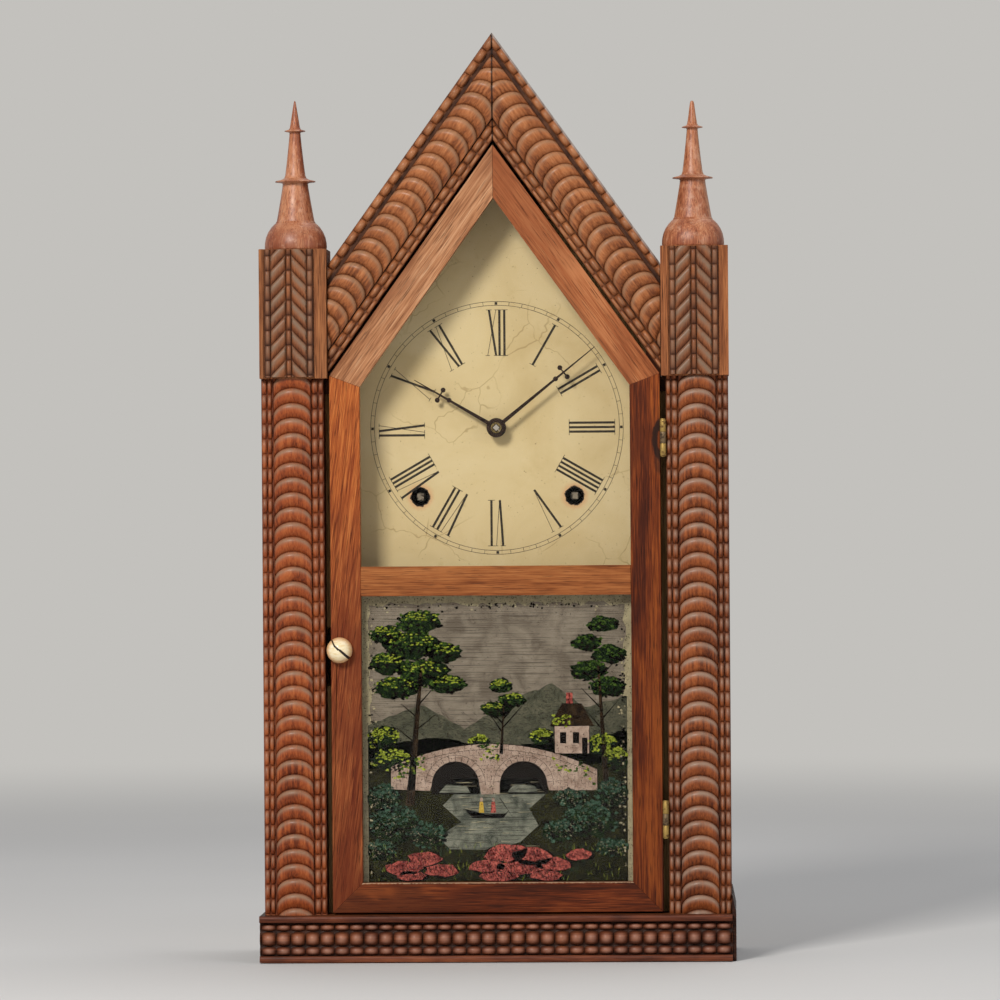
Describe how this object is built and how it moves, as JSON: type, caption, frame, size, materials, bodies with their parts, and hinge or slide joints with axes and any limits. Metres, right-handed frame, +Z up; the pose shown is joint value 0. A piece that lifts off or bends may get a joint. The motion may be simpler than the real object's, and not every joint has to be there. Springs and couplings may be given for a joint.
{
  "type": "steeple clock",
  "caption": "Pointed wooden shelf clock with ripple mouldings, two pillars with turned finials, glazed door, painted dial and brass time and strike movement.",
  "frame": {"origin": "on the surface it stands on, under the middle of its bounding box", "axes": "+Z up, +X to the viewer's right, +Y from the dial to the back board"},
  "size_m": [0.258, 0.102, 0.5034],
  "materials": {
    "rosewood_ripple": "satin",
    "mahogany_case": "satin",
    "turned_wood": "satin",
    "pine": "matte",
    "dial_paint": "satin",
    "blued_steel": "satin",
    "brass": "satin",
    "plain_steel": "satin",
    "cast_iron": "matte",
    "clear_glass": "gloss",
    "painted_glass": "gloss",
    "putty": "matte",
    "ivory": "satin"
  },
  "bodies": {
    "case": {"base_frame": "pine", "base_front_moulding": "rosewood_ripple", "base_skirts": "mahogany_case", "case_sides": "mahogany_case", "back_board": "pine", "shoulder_boards": "mahogany_case", "roof_boards": "mahogany_case", "front_frame": "mahogany_case", "pillar_ripple_left": "rosewood_ripple", "pillar_ripple_right": "rosewood_ripple", "gable_ripple_left": "rosewood_ripple", "gable_ripple_right": "rosewood_ripple", "finial_blocks": "mahogany_case", "chevron_panels": "rosewood_ripple", "finials": "turned_wood", "door_stops": "pine", "catch_plate": "plain_steel", "hinge_case_leaves": "brass", "dial_plate": "dial_paint", "dial_cleats": "pine", "movement_blocks": "pine", "movement_screws": "plain_steel", "front_plate": "brass", "back_plate": "brass", "plate_pillars": "plain_steel", "mainsprings": "plain_steel", "gong_block": "cast_iron", "gong_coil": "plain_steel"},
    "door": {"door_stile_left": "mahogany_case", "door_stile_right": "mahogany_case", "door_bottom_rail": "mahogany_case", "door_middle_rail": "mahogany_case", "door_raking_rails": "mahogany_case", "upper_glass": "clear_glass", "tablet_glass": "painted_glass", "glazing_putty": "putty", "hinge_door_leaves": "brass"},
    "latch": {"knob": "ivory", "door_latch": "plain_steel"},
    "time_great": {"time_great_wheel": "brass"},
    "time_winder": {"time_winding_arbor": "plain_steel"},
    "second": {"time_second_wheel": "brass"},
    "centre": {"centre_wheel": "brass", "cannon_pinion": "brass", "minute_hand": "blued_steel"},
    "third": {"third_wheel": "brass"},
    "escape": {"escape_wheel": "brass"},
    "motion_wheel": {"minute_wheel": "brass"},
    "hour": {"hour_wheel": "brass", "hour_hand": "blued_steel"},
    "verge": {"verge": "plain_steel"},
    "pendulum": {"pendulum_rod": "plain_steel", "pendulum_bob": "brass"},
    "strike_great": {"strike_great_wheel": "brass"},
    "strike_winder": {"strike_winding_arbor": "plain_steel"},
    "pin_wheel": {"strike_pin_wheel": "brass"},
    "count": {"count_wheel": "brass"},
    "warning": {"warning_wheel": "brass"},
    "fly": {"fly": "brass"},
    "hammer": {"hammer": "plain_steel"}
  },
  "joints": [
    {"name": "door_swing", "type": "hinge", "parent": "case", "child": "door", "pos_m": [0.09125, -0.0426, 0.2], "axis": [0, 0, 1], "range_deg": [0, 95]},
    {"name": "latch_turn", "type": "hinge", "parent": "door", "child": "latch", "pos_m": [-0.0848, -0.041, 0.1691], "axis": [0, 1, 0], "range_deg": [0, 90]},
    {"name": "centre_spin", "type": "hinge", "parent": "case", "child": "centre", "pos_m": [0, 0, 0.2894], "axis": [0, 1, 0], "continuous": true},
    {"name": "time_great_spin", "type": "hinge", "parent": "case", "child": "time_great", "pos_m": [0.0423, 0, 0.252], "axis": [0, 1, 0], "continuous": true},
    {"name": "time_winding", "type": "hinge", "parent": "time_great", "child": "time_winder", "pos_m": [0.0423, 0, 0.252], "axis": [0, 1, 0], "range_deg": [0, 360]},
    {"name": "second_spin", "type": "hinge", "parent": "case", "child": "second", "pos_m": [0.02345, 0, 0.27939], "axis": [0, 1, 0], "continuous": true},
    {"name": "third_spin", "type": "hinge", "parent": "case", "child": "third", "pos_m": [0.01887, 0, 0.3061], "axis": [0, 1, 0], "continuous": true},
    {"name": "escape_spin", "type": "hinge", "parent": "case", "child": "escape", "pos_m": [0, 0, 0.3164], "axis": [0, 1, 0], "continuous": true},
    {"name": "motion_wheel_spin", "type": "hinge", "parent": "case", "child": "motion_wheel", "pos_m": [0.01739, 0, 0.28474], "axis": [0, 1, 0], "continuous": true},
    {"name": "hour_spin", "type": "hinge", "parent": "case", "child": "hour", "pos_m": [0, 0, 0.2894], "axis": [0, 1, 0], "continuous": true},
    {"name": "pendulum_swing", "type": "hinge", "parent": "case", "child": "pendulum", "pos_m": [0, 0, 0.3364], "axis": [0, 1, 0], "range_deg": [-3.5, 3.5]},
    {"name": "verge_swing", "type": "hinge", "parent": "case", "child": "verge", "pos_m": [0, 0, 0.3364], "axis": [0, 1, 0], "range_deg": [-3.5, 3.5]},
    {"name": "pin_wheel_spin", "type": "hinge", "parent": "case", "child": "pin_wheel", "pos_m": [-0.02345, 0, 0.27939], "axis": [0, 1, 0], "continuous": true},
    {"name": "strike_great_spin", "type": "hinge", "parent": "case", "child": "strike_great", "pos_m": [-0.0423, 0, 0.252], "axis": [0, 1, 0], "continuous": true},
    {"name": "strike_winding", "type": "hinge", "parent": "strike_great", "child": "strike_winder", "pos_m": [-0.0423, 0, 0.252], "axis": [0, 1, 0], "range_deg": [-360, 0]},
    {"name": "count_spin", "type": "hinge", "parent": "case", "child": "count", "pos_m": [-0.0423, 0, 0.252], "axis": [0, 1, 0], "continuous": true},
    {"name": "warning_spin", "type": "hinge", "parent": "case", "child": "warning", "pos_m": [-0.0269, 0, 0.29893], "axis": [0, 1, 0], "continuous": true},
    {"name": "fly_spin", "type": "hinge", "parent": "case", "child": "fly", "pos_m": [-0.02476, 0, 0.31418], "axis": [0, 1, 0], "continuous": true},
    {"name": "hammer_lift", "type": "hinge", "parent": "case", "child": "hammer", "pos_m": [-0.006, 0, 0.2414], "axis": [0, 1, 0], "range_deg": [0, 10]}
  ],
  "couplings": [
    {"joint": "time_great_spin", "follows": "centre_spin", "ratio": 0.041667},
    {"joint": "second_spin", "follows": "centre_spin", "ratio": -0.25},
    {"joint": "third_spin", "follows": "centre_spin", "ratio": -9.5},
    {"joint": "escape_spin", "follows": "centre_spin", "ratio": 92.625},
    {"joint": "motion_wheel_spin", "follows": "centre_spin", "ratio": -0.33333},
    {"joint": "hour_spin", "follows": "centre_spin", "ratio": 0.083333},
    {"joint": "verge_swing", "follows": "pendulum_swing", "ratio": 1},
    {"joint": "strike_great_spin", "follows": "pin_wheel_spin", "ratio": -0.16667},
    {"joint": "count_spin", "follows": "pin_wheel_spin", "ratio": -0.15385},
    {"joint": "warning_spin", "follows": "pin_wheel_spin", "ratio": -7},
    {"joint": "fly_spin", "follows": "pin_wheel_spin", "ratio": 42}
  ]
}
